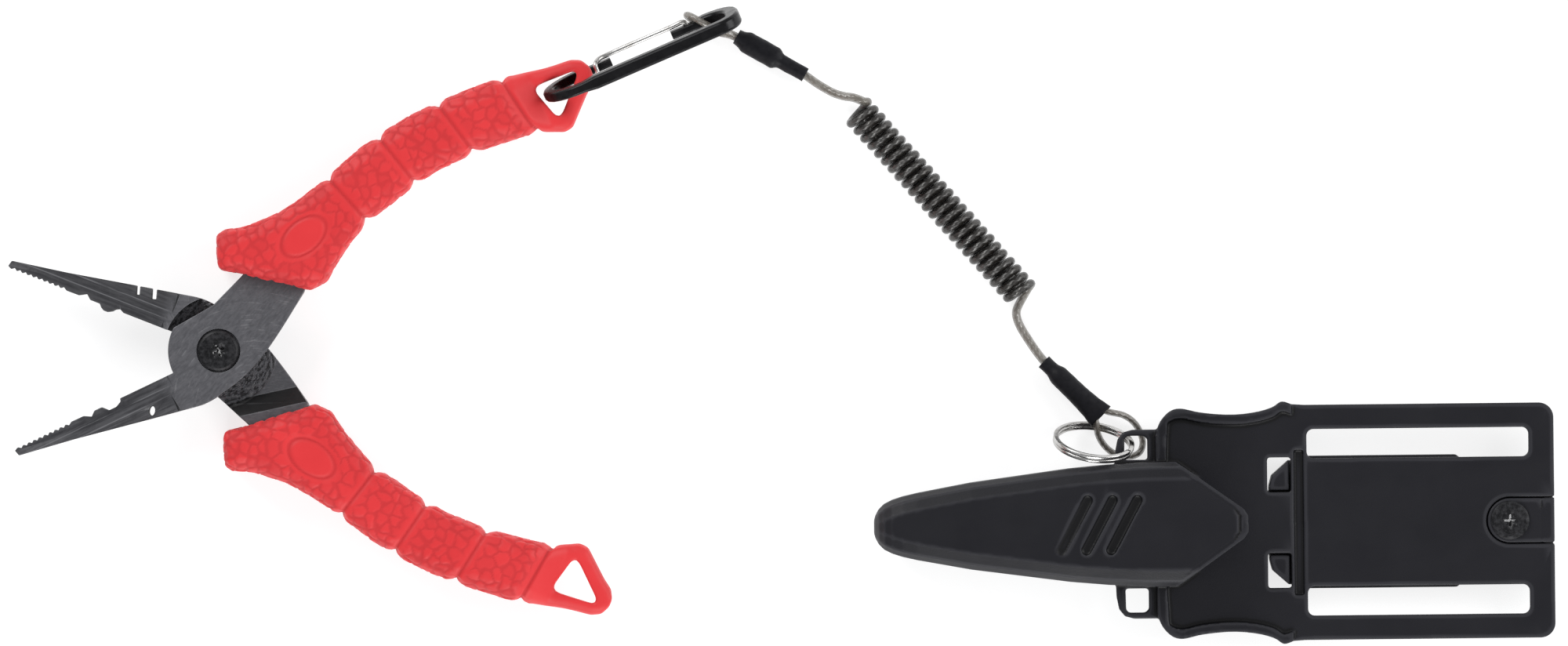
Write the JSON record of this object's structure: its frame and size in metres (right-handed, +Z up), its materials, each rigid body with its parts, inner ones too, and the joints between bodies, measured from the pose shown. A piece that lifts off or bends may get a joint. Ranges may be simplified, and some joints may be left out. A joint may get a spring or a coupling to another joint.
{
  "type": "fishing pliers",
  "caption": "Spring-opening needle-nose fishing pliers with dipped grips, on a coiled lanyard with a carabiner and split ring, tied to a belt sheath with a screwed belt clip.",
  "frame": {"origin": "on the plane the set lies on, below the middle of the bounding box of everything but the lanyard", "axes": "+X from the pliers' jaws to the sheath's belt plate, +Y towards the carabiner, +Z up off the plane"},
  "size_m": [0.3749, 0.1546, 0.0216],
  "materials": {
    "coated_steel": "dark grey coating with fine straight brush marks",
    "bare_steel": "bright drawn wire",
    "black_steel": "black oxide, satin",
    "grip_rubber": "red rubber, satin, with a raised cell texture",
    "black_aluminium": "black anodised, semi-gloss",
    "cord_vinyl": "smoked translucent vinyl over wire",
    "wire_cable": "twisted wire in a clear coat",
    "shrink_tube": "matte black heat-shrink",
    "sheath_nylon": "charcoal black moulded nylon with a fine grain"
  },
  "bodies": {
    "pliers_front": {"front_half": "coated_steel", "front_grip": "grip_rubber", "pivot_screw": "black_steel", "pivot_nut": "black_steel", "pivot_spring": "bare_steel"},
    "pliers_rear": {"rear_half": "coated_steel", "rear_grip": "grip_rubber"},
    "carabiner": {"carabiner_frame": "black_aluminium"},
    "gate": {"carabiner_gate": "bare_steel"},
    "lanyard_head": {"head_loop": "wire_cable", "head_ferrule": "bare_steel", "head_sleeve": "shrink_tube", "head_lead": "cord_vinyl", "lanyard_coil": "cord_vinyl"},
    "lanyard_tail": {"tail_lead": "cord_vinyl", "tail_sleeve": "shrink_tube", "tail_ferrule": "bare_steel", "tail_loop": "wire_cable"},
    "split_ring": {"split_ring": "bare_steel"},
    "sheath": {"sheath_body": "sheath_nylon", "belt_clip": "sheath_nylon", "clip_screw": "black_steel"}
  },
  "joints": [
    {"name": "jaw_pivot", "type": "hinge", "parent": "pliers_front", "child": "pliers_rear", "pos_m": [-0.1369, -0.0064, 0.009], "axis": [0, 0, 1], "range_deg": [0, 46.6], "stiffness_Nm_per_rad": 0.25, "springref_deg": -17.19, "deforming": ["pivot_spring"]},
    {"name": "carabiner_swing", "type": "hinge", "parent": "pliers_front", "child": "carabiner", "pos_m": [-0.0546, 0.0562, 0.009], "axis": [0, 0, 1], "range_deg": [-12, 12]},
    {"name": "gate_hinge", "type": "hinge", "parent": "carabiner", "child": "gate", "pos_m": [-0.0233, 0.0718, 0.0038], "axis": [-0.3874, 0.8953, 0.22], "range_deg": [0, 20], "stiffness_Nm_per_rad": 0.004, "springref_deg": -17.19},
    {"name": "head_loop_swing", "type": "hinge", "parent": "carabiner", "child": "lanyard_head", "pos_m": [-0.0204, 0.0735, 0.0034], "axis": [0, 0, 1], "range_deg": [-10, 9]},
    {"name": "lanyard_stretch", "type": "slide", "parent": "lanyard_head", "child": "lanyard_tail", "axis": [0.6681, -0.7441, 0], "range_m": [0, 0.12], "stiffness_N_per_m": 18, "deforming": ["lanyard_coil"]},
    {"name": "tail_loop_swing", "type": "hinge", "parent": "lanyard_tail", "child": "split_ring", "pos_m": [0.0845, -0.0287, 0.0082], "axis": [0, 0, 1], "range_deg": [-7, 7]},
    {"name": "ring_swing", "type": "hinge", "parent": "split_ring", "child": "sheath", "pos_m": [0.0843, -0.0287, 0.0082], "axis": [0, 0, 1], "range_deg": [-3, 8]}
  ]
}
